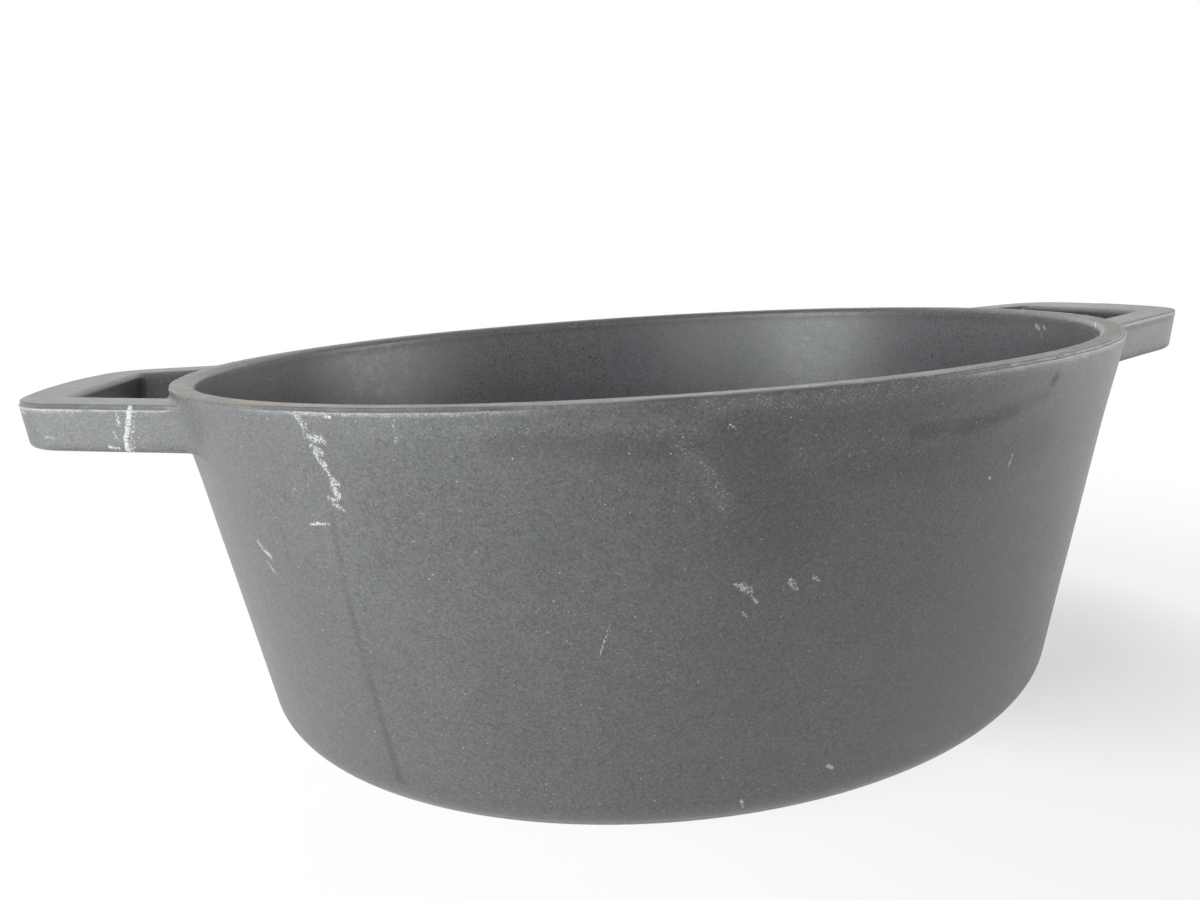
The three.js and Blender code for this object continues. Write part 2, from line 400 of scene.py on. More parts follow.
def ground_lip(material):
    """The lip that tops the wall: a parting step outside, a flat ground top and a round inside."""
    bm = bmesh.new()
    step = POT_TOP - RIM_STEP_DEPTH
    step_outside = outside_at(step)
    riser = step_outside - STEP_WIDTH
    draw_wire(
        bm,
        [
            (outside_at(LIP_BASE), LIP_BASE),
            (step_outside, step, STEP_EDGE_ROUND, 3),
            (riser, step + STEP_CORNER_RISE, STEP_CORNER_ROUND, 2),
            (riser - RISER_LEAN, POT_TOP, RIM_OUTER_ROUND, 4),
            (inside_at(POT_TOP), POT_TOP, RIM_INNER_ROUND, 7),
            (inside_at(LIP_BASE), LIP_BASE),
        ],
        closed=True,
    )
    divide_long_edges(bm, LIP_STEP)
    names = "worn_edge dark_groove ground_top step_inset top_edge pot_inside pitted_edge".split()
    worn, groove, ground, inset, edge, inner, pitted = [bm.verts.layers.float.new(name) for name in names]
    for vert in bm.verts:
        below = POT_TOP - vert.co.z
        from_outside = step_outside - vert.co.x
        on_outside = from_outside < WALL_THICKNESS / 2
        if on_outside and below < RIM_STEP_DEPTH + HAIR:
            vert[inset] = min(from_outside, STEP_WIDTH)
            upper = max(0, 1 - below / RIM_STEP_DEPTH)
            vert[edge] = upper * max(0, 1 - from_outside / EDGE_WIDTH) ** 2
        if from_outside < STEP_WIDTH * 0.8:
            vert[worn] = 1 - ramp(below - RIM_STEP_DEPTH, *WORN_BELOW_STEP)
        elif on_outside:
            # The groove's dark is residue and painted shade in the step's recess
            on_flat = 0.8 * (1 - ramp(from_outside, *RESIDUE_AND_SHADE_INSET))
            vert[groove] = max(on_flat, ramp(below, *RESIDUE_AND_SHADE_DEPTH))
        else:
            vert[inner] = ramp(below, *INNER_SKIN_DEPTH)
            vert[ground] = 1 - ramp(below, *BARE_DEPTH)
        if below < FINE_HAIR:
            vert[ground] = ramp(from_outside, *BARE_INSET)
            vert[pitted] = 0.1 + 0.7 * (1 - ramp(from_outside, *PITTED_INSET))
        elif on_outside:
            vert[pitted] = 0.7 * (1 - ramp(below - RIM_STEP_DEPTH, *PITTED_BELOW_STEP))
    spin_oval(bm, inside_at(LIP_BASE), LIP_STEPS)
    for vert in bm.verts:
        kept = step_kept(vert.co)
        on_top = vert.co.z > POT_TOP - TOP_EDGE_DEPTH
        lead = outward(vert.co)
        fade = ramp(vert.co.z - LIP_BASE, *OFF_WALL)
        right_side = ramp(vert.co.x, *RIGHT_SIDE_STARTS)
        left_end = 1 - ramp(vert.co.x, *LEFT_END_ENDS)
        broken = max(right_side, left_end)
        edge_height = EDGE_BUMP_HEIGHT + BROKEN_BUMP_HEIGHT * broken
        ragged = (vert[worn] + vert[groove]) * sand_waviness(vert.co, EDGE_BUMP_LENGTH, edge_height)
        ragged += sand_waviness(vert.co, *LIP_BUMPS)
        if not on_top:
            vert.co.z += fade * sand_waviness(vert.co + STEP_SHIFT, *STEP_BUMPS)
        vert.co += lead * ((1 - kept) * vert[inset] + fade * ragged)
        vert.co.z -= (1 - kept) * vert[edge] * EDGE_DROP
        chip = max(0, noise.noise(vert.co / CHIP_LENGTH) - CHIP_FLOOR)
        vert.co.z -= broken * vert[edge] * chip * CHIP_DEPTH
        in_front = ramp(vert.co.x, *FRONT_STARTS) * (1 - ramp(vert.co.x, *FRONT_ENDS))
        vert[worn] *= kept * (0.65 + 0.65 * right_side)
        vert[groove] *= kept * (1 - 0.55 * right_side)
        vert[pitted] *= 0.3 + 0.7 * broken
        vert[ground] *= 1 - 0.4 * in_front
        # In front the top's outer edge gets the same dark residue and painted shade
        if on_top:
            vert[groove] = max(vert[groove], in_front * ramp(vert[edge], *FRONT_RESIDUE_AND_SHADE))
    return finish_piece(bm, "ground_lip", material, "rim_lip")


def arc(x, y, radius, start, end, steps):
    """Plan points along an arc."""
    turns = [start + (end - start) * step / steps for step in range(steps + 1)]
    return [Vector((x + radius * math.cos(turn), y + radius * math.sin(turn))) for turn in turns]


def loop_bend(half, reach, bow, corner):
    """The bend of a plan outline: a corner, the bowed grip and the other corner.

    X is counted from the end of the rim, where the outline's leaning sides are 2 * half apart."""
    slope = math.tan(ARM_LEAN)
    bow_centre = reach - bow
    offset = half - corner / math.cos(ARM_LEAN)
    square = 1 + slope * slope
    linear = bow_centre + offset * slope
    constant = bow_centre**2 + offset**2 - (bow - corner) ** 2
    corner_x = (linear + math.sqrt(linear**2 - square * constant)) / square
    corner_y = offset - corner_x * slope
    side_turn = math.pi / 2 - ARM_LEAN
    bow_turn = math.atan2(corner_y, corner_x - bow_centre)
    grip = arc(bow_centre, 0, bow, -bow_turn, bow_turn, BOW_STATIONS)
    return [
        *arc(corner_x, -corner_y, corner, -side_turn, -bow_turn, CORNER_STATIONS),
        *grip[1:-1],
        *arc(corner_x, corner_y, corner, bow_turn, side_turn, CORNER_STATIONS),
    ]


def outer_bend(inset):
    half = HANDLE_SPREAD / 2 - inset / math.cos(ARM_LEAN)
    return loop_bend(half, HANDLE_REACH - inset, GRIP_BOW_RADIUS - inset, CORNER_RADIUS - inset)


def opening_bend(growth):
    half = HANDLE_SPREAD / 2 - (ARM_WIDTH - growth) / math.cos(ARM_LEAN)
    reach = HANDLE_REACH - GRIP_WIDTH + growth
    return loop_bend(half, reach, LOOP_BOW_RADIUS, LOOP_CORNER_RADIUS)


def in_pot_frame(point, depth):
    """A plan point at a depth below the handle's top, tilted to its rise and set at the rim's end."""
    rim_end = Vector((HALF_LENGTH, 0, POT_TOP - HANDLE_DROP))
    return rim_end + HANDLE_TILT @ Vector((point.x, point.y, -depth))


def inside_wall(place):
    """True where a place lies within the wall's outer face."""
    long_half = outside_at(place.z)
    return (place.x / long_half) ** 2 + (place.y / (long_half - SQUEEZE)) ** 2 < 1


def meet_wall(start, heading):
    """Where a line from a place outside the pot meets the wall's outer face."""
    near, far = 0, LONGEST_ARM
    for _ in range(40):
        middle = (near + far) / 2
        if inside_wall(start + heading * middle):
            far = middle
        else:
            near = middle
    return start + heading * far


def root_fillet(turn):
    """The fillet's radius on the side of an arm that faces a turn: 0 outside, 90 up, 180 loop, 270 down."""
    quarter = int(turn % 360 // 90)
    share = turn % 90 / 90
    return ROOT_FILLETS[quarter] * (1 - share) + ROOT_FILLETS[(quarter + 1) % 4] * share


def arm_stations(bend_end, side, turn):
    """Places along one line of an arm, from inside the wall out to the bend. Side is -1 or 1 across."""
    along = HANDLE_TILT @ Vector((math.cos(ARM_LEAN), -side * math.sin(ARM_LEAN), 0))
    away = HANDLE_TILT @ Vector((math.sin(ARM_LEAN), side * math.cos(ARM_LEAN), 0))
    facing = away * math.cos(math.radians(turn)) + Vector((0, 0, math.sin(math.radians(turn))))
    radius = root_fillet(turn)
    places = []
    for clearance in ROOT_CLEARANCES:
        gap = min(max(radius - clearance, 0), radius)
        flare = radius - math.sqrt(radius**2 - gap**2)
        if clearance < 0:
            flare += ROOT_SKIRT * radius
        places.append(meet_wall(bend_end + facing * flare, -along) + along * clearance)
    last = places[-1]
    for step in range(1, ARM_STATIONS):
        places.append(last.lerp(bend_end, step / ARM_STATIONS))
    return places


def handle_lines():
    """The lines that run along a handle, in order round its bar.

    Each is (share from outside to opening, inset outside, growth of the opening, depth, facing turn,
    worn, groove). The share blends the outside's outline with the opening's."""

    def drawn_in(depth):
        return depth * math.tan(HANDLE_DRAFT)

    def on_round(turn, radius, heart_depth):
        angle = math.radians(turn)
        return heart_depth - radius * math.sin(angle), radius * (1 - abs(math.cos(angle)))

    top_inset = STEP_WIDTH + GRIP_TOP_ROUND + GRIP_TOP_MARGIN
    lines = [(0, top_inset, 0, 0, 90, 0, 0)]
    for turn in (90, 68, 46, 24, 4):
        depth, drawn = on_round(turn, GRIP_TOP_ROUND, GRIP_TOP_ROUND)
        lines.append((0, STEP_WIDTH + drawn, 0, depth, turn, 0, 1 - ramp(turn, 30, 80)))
    for inset, below, turn, worn, groove in GRIP_STEP_LINES:
        lines.append((0, inset, 0, GRIP_STEP_DEPTH + below, turn, worn, groove))
    face_top = GRIP_STEP_DEPTH + GRIP_FACE_START
    face_foot = HANDLE_HEIGHT - GRIP_FOOT_ROUND
    for step in range(7):
        depth = face_top + (face_foot - face_top) * step / 6
        lines.append((0, drawn_in(depth), 0, depth, 0, 0.5 if step == 0 else 0, 0))
    for turn in (-22, -45, -68, -90):
        depth, drawn = on_round(turn, GRIP_FOOT_ROUND, face_foot)
        lines.append((0, drawn_in(depth) + drawn, 0, depth, turn, 0.2, 0))
    under_inset = drawn_in(HANDLE_HEIGHT) + GRIP_FOOT_ROUND
    for share in (0.25, 0.5, 0.75):
        lines.append((share, under_inset, under_inset, HANDLE_HEIGHT, 270, 0, 0))
    for turn in (270, 248, 225, 202, 180):
        depth, drawn = on_round(turn, GRIP_FOOT_ROUND, face_foot)
        lines.append((1, 0, drawn_in(depth) + drawn, depth, turn, 0, 0))
    for step in range(1, 5):
        depth = face_foot + (LOOP_ROUND - face_foot) * step / 5
        lines.append((1, 0, drawn_in(depth), depth, 180, 0, 0))
    for turn in (180, 165, 150, 135, 120, 105, 90):
        depth, drawn = on_round(turn, LOOP_ROUND, LOOP_ROUND)
        lines.append((1, 0, drawn_in(depth) + drawn, depth, turn, 0, 0))
    for share in (0.8, 0.6, 0.4, 0.2):
        lines.append((share, top_inset, LOOP_ROUND, 0, 90, 0, 0))
    return lines


def line_places(line):
    """Every station of one line of the handle: up one arm, round the bend and down the other arm."""
    share, inset, growth, depth, turn, _, _ = line
    outside = outer_bend(inset)
    opening = opening_bend(growth)
    bend = [in_pot_frame(a.lerp(b, share), depth) for a, b in zip(outside, opening)]
    near_arm = arm_stations(bend[0], -1, turn)
    far_arm = arm_stations(bend[-1], 1, turn)
    return near_arm + bend + far_arm[::-1]


def without_step(line):
    """A line of the handle as it runs where the parting step has died out."""
    share, inset, growth, depth, turn, *finish = line
    if share == 0 and turn > 0 and depth <= GRIP_STEP_DEPTH:
        inset = max(inset - STEP_WIDTH, SHUT_INSET)
    return (share, inset, growth, depth, turn, *finish)


def stepped_places(line, step_left):
    """Every station of a line, with the share of the parting step that is left there."""
    places = line_places(line)
    last = len(places) - 1
    for index, (place, shut) in enumerate(zip(places, line_places(without_step(line)))):
        kept = step_left * ramp(min(index, last - index), *STEP_DIES_OUT)
        yield shut.lerp(place, kept), kept


def loop_handle(name, node, material, half_turn, step_left):
    """A handle: its lines drawn one after another round the bar, each extruded from the one before.

    Step_left is the share of its parting step that is left."""
    bm = bmesh.new()
    worn = bm.verts.layers.float.new("worn_edge")
    groove = bm.verts.layers.float.new("dark_groove")
    lines = handle_lines()
    row = [bm.verts.new(place) for place, _ in stepped_places(lines[0], step_left)]
    edges = [bm.edges.new(pair) for pair in zip(row, row[1:])]
    for line in [*lines[1:], lines[0]]:
        before = set(row)
        made = bmesh.ops.extrude_edge_only(bm, edges=edges)["geom"]
        rungs = {}
        for item in made:
            if isinstance(item, bmesh.types.BMVert):
                for edge in item.link_edges:
                    other = edge.other_vert(item)
                    if other in before:
                        rungs[other] = item
        row = [rungs[vert] for vert in row]
        for vert, (place, kept) in zip(row, stepped_places(line, step_left)):
            vert.co = place
            vert[worn] = line[5] * kept
            # The groove's dark is residue and painted shade in the handle's step
            vert[groove] = line[6] * kept * (1 - 0.7 * ramp(place.x, *GROOVE_ENDS))
        edges = [bm.edges.get(pair) for pair in zip(row, row[1:])]
    bmesh.ops.remove_doubles(bm, verts=bm.verts, dist=WELD_DISTANCE)
    rims = [edge for edge in bm.edges if edge.is_boundary]
    bmesh.ops.holes_fill(bm, edges=rims, sides=0)
    bmesh.ops.recalc_face_normals(bm, faces=bm.faces)
    if half_turn:
        bmesh.ops.rotate(bm, verts=bm.verts, cent=(0, 0, 0), matrix=Matrix.Rotation(math.pi, 3, "Z"))
    bm.normal_update()
    for vert in bm.verts:
        fade = ramp(root_gap(vert.co), *HANDLE_OFF_ROOT)
        vert.co += vert.normal * fade * sand_waviness(vert.co, *HANDLE_BUMPS)
    return finish_piece(bm, name, material, node)


def add_node(tree, kind, inputs=None, **settings):
    """A shader node with its settings, and its inputs linked where a socket is given or else set."""
    made = tree.nodes.new("ShaderNode" + kind)
    for name, value in settings.items():
        setattr(made, name, value)
    for name, value in (inputs or {}).items():
        if isinstance(value, bpy.types.NodeSocket):
            tree.links.new(value, made.inputs[name])
        else:
            made.inputs[name].default_value = value
    return made


def reckon(tree, operation, first, second=0.0, third=0.0):
    return add_node(tree, "Math", {0: first, 1: second, 2: third}, operation=operation).outputs[0]


def times(tree, first, second):
    return reckon(tree, "MULTIPLY", first, second)


def times_plus(tree, first, second, added):
    return reckon(tree, "MULTIPLY_ADD", first, second, added)


def reckon_vector(tree, operation, first, second):
    made = add_node(tree, "VectorMath", {0: first, 1: second}, operation=operation)
    return made.outputs["Value" if operation in ("DOT_PRODUCT", "DISTANCE") else "Vector"]


def soft_step(tree, value, low, high):
    """A mask that rises softly from 0 at low to 1 at high."""
    span = {"Value": value, "From Min": low, "From Max": high}
    return add_node(tree, "MapRange", span, interpolation_type="SMOOTHSTEP").outputs["Result"]


def blend_colour(tree, mask, under, over):
    """One colour over another through a mask. Each colour is a socket or three numbers."""
    made = add_node(tree, "Mix", {"Factor": mask}, data_type="RGBA")
    sockets = [socket for socket in made.inputs if socket.type == "RGBA"]
    for socket, colour in zip(sockets, (under, over)):
        if isinstance(colour, bpy.types.NodeSocket):
            tree.links.new(colour, socket)
        else:
            socket.default_value = (*colour, 1)
    return [socket for socket in made.outputs if socket.type == "RGBA"][0]


def shade_colour(tree, colour, shade):
    return add_node(tree, "VectorMath", {0: colour, "Scale": shade}, operation="SCALE").outputs[0]


def speckle(tree, place, scale, detail, roughness):
    """A noise of about one feature per 1 / scale metres."""
    grain = {"Vector": place, "Scale": scale, "Detail": detail, "Roughness": roughness}
    return add_node(tree, "TexNoise", grain).outputs["Fac"]


def swing(tree, base, noise_socket, amount):
    """A value that a noise moves up and down by an amount."""
    return times_plus(tree, reckon(tree, "SUBTRACT", noise_socket, 0.5), amount, base)


def grains(tree, place, scale):
    """Small round cells: two random numbers for each, and the distance from its middle."""
    cells = add_node(tree, "TexVoronoi", {"Vector": place, "Scale": scale}, feature="F1")
    lots = add_node(tree, "SeparateColor", {"Color": cells.outputs["Color"]})
    return lots.outputs[0], lots.outputs[1], cells.outputs["Distance"]


def new_group(name, inputs, outputs):
    """An empty shader group with named sockets, and its input and output nodes."""
    group = bpy.data.node_groups.new(name, "ShaderNodeTree")
    for side, sockets in (("INPUT", inputs), ("OUTPUT", outputs)):
        for socket, kind in sockets.items():
            group.interface.new_socket(socket, in_out=side, socket_type=kind)
    taken = group.nodes.new("NodeGroupInput").outputs
    given = group.nodes.new("NodeGroupOutput").inputs
    return group, taken, given


def dots(tree, chosen, from_middle, edge, heart, lot, spread, least):
    """Dots in the chosen cells, soft from heart to edge. The lot makes some fainter than others."""
    within = times(tree, chosen, soft_step(tree, from_middle, edge, heart))
    return times(tree, within, times_plus(tree, lot, spread, least))


VECTOR = "NodeSocketVector"
FLOAT = "NodeSocketFloat"
COLOUR = "NodeSocketColor"

# Colours of the iron and of what lies on it
SKIN_GREENISH = (0.094, 0.0985, 0.0965)
SKIN_BLUISH = (0.098, 0.096, 0.101)
SKIN_INSIDE = (0.136, 0.1395, 0.1485)
PALE_SPECK = (0.32, 0.32, 0.316)
SCRATCH = (0.55, 0.55, 0.545)
DUST = (0.6, 0.6, 0.592)
# Dark of the parting step's groove, residue and painted shade; also the dark of the skin's pits
DARK_RESIDUE_AND_SHADE = (0.03, 0.03, 0.031)
WORN_EDGE = (0.46, 0.46, 0.455)
CHALK = (0.58, 0.585, 0.585)
BARE_DARK = (0.14, 0.13, 0.116)
BARE_PALE = (0.27, 0.252, 0.224)
LIP_PIT = (0.05, 0.049, 0.047)
RUST_DARK = (0.2, 0.125, 0.075)
RUST_PALE = (0.45, 0.31, 0.185)


def sand_cast_skin_group():
    """The seasoned skin of the casting: sand grain, stray specks, pits, dust and soft cloudy mottling.

    Inside turns to the paler and cooler skin inside the pot, Scuff brings out pale specks and scratches,
    and the stain input darkens and dulls the skin, for real stains and for painted shade over the upper
    front of the wall."""
    group, taken, given = new_group(
        "sand_cast_skin",
        {"Place": VECTOR, "Inside": FLOAT, "Scuff": FLOAT, "Stain And Shade": FLOAT},
        {"Color": COLOUR, "Roughness": FLOAT, "Height": FLOAT},
    )
    place, inside, scuff, stain_and_shade = taken[:4]
    lot, strength, from_middle = grains(group, place, 3000)
    medium = speckle(group, place, 1100, 3, 0.65)
    mottle = speckle(group, place, 900, 3, 0.7)
    blotch = speckle(group, place, 260, 3, 0.6)
    tint = speckle(group, place, 150, 3, 0.6)
    cloud = speckle(group, place, 42, 4, 0.55)
    wide_cloud = speckle(group, place, 12, 2, 0.5)

    shade = times_plus(group, inside, swing(group, 0.0, mottle, 1.5), 1.0)
    for drift, amount in ((lot, 0.65), (medium, 1.1), (blotch, 0.45), (cloud, 0.3), (wide_cloud, 0.25)):
        shade = swing(group, shade, drift, amount)
    shade = times_plus(group, scuff, 0.3, shade)
    # Stains and painted shade darken the skin
    shade = times(group, shade, times_plus(group, stain_and_shade, -0.7, 1.0))
    tone = blend_colour(group, soft_step(group, tint, 0.3, 0.7), SKIN_GREENISH, SKIN_BLUISH)
    tone = blend_colour(group, inside, tone, SKIN_INSIDE)
    colour = shade_colour(group, tone, shade)

    cover = times_plus(group, soft_step(group, cloud, 0.42, 0.7), 0.05, 0.03)
    cover = times_plus(group, inside, 0.1, cover)
    cover = times_plus(group, scuff, 0.25, cover)
    chosen = soft_step(group, reckon(group, "SUBTRACT", cover, strength), 0.0, 0.02)
    speck = dots(group, chosen, from_middle, 0.6, 0.15, lot, 0.75, 0.2)
    colour = blend_colour(group, speck, colour, PALE_SPECK)

    drawn_out = reckon_vector(group, "MULTIPLY", place, (0.5, 0.5, 1.0))
    scratch_lot, scratch_strength, scratch_middle = grains(group, drawn_out, 3900)
    cover = times(group, soft_step(group, scuff, 0.4, 1.0), 0.32)
    chosen = soft_step(group, reckon(group, "SUBTRACT", cover, scratch_strength), 0.0, 0.02)
    scratch = dots(group, chosen, scratch_middle, 0.5, 0.25, scratch_lot, 0.7, 0.2)
    colour = blend_colour(group, scratch, colour, SCRATCH)

    pit_lot, pit_strength, pit_middle = grains(group, place, 1300)
    chosen = soft_step(group, pit_lot, 0.94, 0.96)
    pit = dots(group, chosen, pit_middle, 0.45, 0.2, pit_strength, 0.5, 0.2)
    colour = blend_colour(group, pit, colour, DARK_RESIDUE_AND_SHADE)
    chosen = soft_step(group, pit_lot, 0.022, 0.018)
    dust = dots(group, chosen, pit_middle, 0.3, 0.12, pit_strength, 0.7, 0.25)
    group.links.new(blend_colour(group, dust, colour, DUST), given["Color"])

    rough = times_plus(group, inside, swing(group, -0.07, mottle, 0.3), 0.42)
    for drift, amount in ((cloud, 0.14), (blotch, 0.2), (medium, 0.2)):
        rough = swing(group, rough, drift, amount)
    group.links.new(times_plus(group, stain_and_shade, 0.3, rough), given["Roughness"])
    height = times_plus(group, medium, 0.6, times(group, lot, 0.12))
    height = times_plus(group, blotch, 0.5, height)
    group.links.new(times_plus(group, pit, -0.4, height), given["Height"])
    return group


def stroke_group():
    """How fully a mark along a line covers a place: its cover on the line, fading to its half width.

    Reach is the line from its start to its end, and Along the same over its squared length."""
    inputs = {"Place": VECTOR, "Start": VECTOR, "Reach": VECTOR, "Along": VECTOR}
    inputs |= {"Half Width": FLOAT, "Cover": FLOAT}
    group, taken, given = new_group("stroke", inputs, {"Cover": FLOAT})
    from_start = reckon_vector(group, "SUBTRACT", taken["Place"], taken["Start"])
    along = reckon_vector(group, "DOT_PRODUCT", from_start, taken["Along"])
    share = add_node(group, "Clamp", {"Value": along})
    nearest = shade_colour(group, taken["Reach"], share.outputs[0])
    gap = reckon_vector(group, "DISTANCE", from_start, nearest)
    within = soft_step(group, reckon(group, "DIVIDE", gap, taken["Half Width"]), 1.0, 0.2)
    group.links.new(times(group, within, taken["Cover"]), given["Cover"])
    return group


def crumbs_group():
    """Loose crumbs: the fuller the cover, the more and the larger they are."""
    group, taken, given = new_group("crumbs", {"Place": VECTOR, "Cover": FLOAT}, {"Mask": FLOAT})
    patchy = speckle(group, taken["Place"], 800, 2, 0.6)
    cover = times(group, taken["Cover"], times_plus(group, patchy, 1.5, 0.25))
    masks = []
    for scale, spared in ((4200, 0.0), (2000, 0.22)):
        lot, _, from_middle = grains(group, taken["Place"], scale)
        needed = times_plus(group, lot, 0.75, times(group, from_middle, 0.4))
        surplus = reckon(group, "SUBTRACT", cover, reckon(group, "ADD", needed, spared))
        masks.append(soft_step(group, surplus, -0.08, 0.14))
    crumbs = reckon(group, "MAXIMUM", *masks)
    haze = times(group, soft_step(group, cover, 0.1, 1.0), 0.2)
    group.links.new(reckon(group, "MAXIMUM", times(group, crumbs, 0.9), haze), given["Mask"])
    return group


def cast_edges_group():
    """The parting step's finish: dark residue and painted shade in the groove, and pale wear on the edge
    below it.
    """
    group, taken, given = new_group(
        "cast_edges",
        {"Place": VECTOR, "Groove": FLOAT, "Worn": FLOAT, "Color": COLOUR, "Roughness": FLOAT},
        {"Color": COLOUR, "Roughness": FLOAT},
    )
    place = taken["Place"]
    ragged = speckle(group, place, 500, 3, 0.65)
    patchy = speckle(group, place, 85, 3, 0.6)
    # Painted shade and residue darken the groove
    dark = soft_step(group, swing(group, taken["Groove"], ragged, 0.9), 0.15, 0.95)
    dark = times(group, dark, soft_step(group, patchy, 0.1, 0.6))
    colour = blend_colour(group, times(group, dark, 0.5), taken["Color"], DARK_RESIDUE_AND_SHADE)
    cover = times(group, taken["Worn"], times_plus(group, patchy, 1.5, 0.1))
    bright = add_node(group, "Group", {"Place": place, "Cover": cover}, node_tree=CRUMBS)
    worn = times_plus(group, bright.outputs["Mask"], 0.55, times(group, cover, 0.22))
    group.links.new(blend_colour(group, worn, colour, WORN_EDGE), given["Color"])
    group.links.new(times_plus(group, dark, 0.3, taken["Roughness"]), given["Roughness"])
    return group


# Marks on the pot. Each is a stroke: the X, Y and Z of its start and of its end in tenths of a
# millimetre, its half width in millimetres, and its cover
CHALK_ON_WALL = [
    (-987, -889, 1058, -981, -891, 1044, 1.4, 0.62),
    (-974, -900, 1059, -973, -896, 1035, 1.2, 0.62),
    (-980, -890, 1035, -981, -886, 1017, 1.2, 0.62),
    (-987, -880, 1008, -982, -880, 986, 1, 0.42),
    (-970, -895, 1018, -943, -915, 1011, 2, 0.52),
    (-967, -894, 996, -952, -904, 984, 1.7, 0.56),
    (-963, -895, 983, -948, -901, 953, 1.7, 0.6),
    (-948, -901, 953, -942, -902, 933, 0.8, 0.65),
    (-937, -904, 924, -928, -908, 913, 1.5, 0.58),
    (-938, -901, 908, -932, -901, 888, 1.9, 0.62),
    (-953, -884, 881, -938, -895, 876, 1, 0.55),
    (-944, -889, 868, -926, -900, 856, 1.3, 0.5),
    (-1012, -823, 809, -964, -864, 816, 0.55, 0.6),
    (-992, -842, 815, -987, -845, 815, 0.5, 0.95),
    (-1164, -651, 731, -1149, -664, 708, 1, 0.5),
    (-1146, -667, 709, -1132, -680, 694, 1.3, 0.55),
    (-1148, -659, 678, -1130, -674, 653, 1, 0.4),
    (-1298, -514, 976, -1255, -588, 993, 0.65, 0.72),
    (-1255, -588, 993, -1220, -639, 997, 0.6, 0.7),
    (-1220, -639, 997, -1142, -738, 1018, 0.6, 0.55),
    (-794, -1015, 1048, -791, -1011, 1011, 1.2, 0.4),
    (-784, -1013, 998, -763, -1023, 996, 0.5, 0.6),
    (-537, -1121, 997, -495, -1133, 990, 0.5, 0.58),
    (-173, -1203, 1022, -161, -1202, 1013, 0.85, 1),
    (-150, -1156, 677, -137, -1156, 671, 0.7, 0.6),
    (-137, -1156, 671, -120, -1156, 659, 1.7, 0.58),
    (-115, -1154, 645, -102, -1153, 629, 0.7, 0.6),
    (-131, -1148, 606, -120, -1147, 595, 0.7, 0.5),
    (-30, -1161, 669, -18, -1159, 650, 1.4, 0.54),
    (19, -1162, 671, 33, -1160, 661, 0.8, 0.5),
    (96, -1088, 160, 107, -1085, 151, 0.9, 0.85),
    (-116, -1077, 106, -109, -1070, 84, 0.7, 0.85),
    (-427, -1085, 528, -405, -1101, 601, 0.5, 0.45),
    (521, -1107, 867, 514, -1105, 840, 0.6, 0.55),
    (454, -1122, 828, 459, -1120, 822, 0.5, 0.9),
    (1378, -145, 1036, 1372, -167, 1024, 1.1, 1),
    (1370, -188, 1036, 1365, -203, 1026, 0.8, 0.9),
    (1367, -184, 1011, 1363, -194, 998, 0.7, 0.5),
    (1196, -599, 1063, 1166, -632, 1047, 0.6, 1.4),
    (-1299, 398, 1004, -1285, 428, 999, 0.8, 0.45),
]

CHALK_ON_HANDLE = [
    (-1453, -468, 1054, -1466, -460, 1010, 1.2, 0.72),
    (-1466, -460, 1010, -1480, -451, 972, 1.2, 0.72),
    (-1480, -451, 972, -1482, -448, 943, 1.2, 0.8),
    (-1449, -467, 1040, -1470, -452, 946, 1.9, 0.35),
    (-1489, -455, 1044, -1489, -452, 1011, 1, 0.42),
    (-1506, -445, 993, -1501, -445, 972, 1, 0.4),
    (-1526, -434, 954, -1504, -441, 949, 0.9, 0.6),
    (-1691, -379, 986, -1669, -388, 983, 0.7, 0.38),
    (-1758, -330, 1048, -1742, -350, 1046, 0.8, 0.75),
    (-1510, -456, 1046, -1485, -464, 1044, 0.8, 0.6),
]

CHALK_ON_LIP = [
    (-993, -886, 1066, -980, -894, 1050, 1.6, 0.55),
    (-968, -905, 1064, -934, -929, 1062, 0.6, 0.6),
    (-932, -930, 1063, -918, -942, 1063, 0.9, 1.6),
    (-541, -1130, 1063, -537, -1131, 1062, 0.7, 1),
    (-513, -1138, 1064, -509, -1139, 1063, 0.6, 1),
    (-565, -1120, 1053, -561, -1120, 1052, 0.6, 1),
    (56, -1216, 1064, 70, -1216, 1062, 0.45, 0.8),
    (93, -1215, 1063, 110, -1214, 1060, 0.45, 0.8),
    (1240, -549, 1078, 1196, -599, 1063, 0.6, 1.2),
    (487, -1142, 1076, 549, -1118, 1076, 0.7, 0.6),
    (613, -1082, 1078, 712, -1043, 1078, 0.7, 0.7),
]

PALE_SCUFFS = [
    (-260, -1186, 980, -203, -1183, 904, 3.6, 0.85),
    (-203, -1183, 904, -176, -1179, 856, 4.2, 0.75),
    (140, -1123, 439, 140, -1123, 435, 7.5, 0.35),
    (298, -1062, 160, 504, -1003, 125, 4, 0.45),
    (-880, -966, 1040, -600, -1103, 1042, 3.6, 0.5),
    (-600, -1103, 1042, -380, -1172, 1040, 3.2, 0.45),
    (-380, -1172, 1040, -220, -1200, 1015, 3.4, 0.6),
    (-220, -1204, 1062, 120, -1210, 1062, 4.4, 1),
    (-20, -1192, 950, 300, -1170, 960, 6, 0.6),
    (120, -1210, 1062, 400, -1172, 1064, 4.2, 0.95),
    (400, -1172, 1064, 700, -1070, 1060, 2.8, 0.7),
]

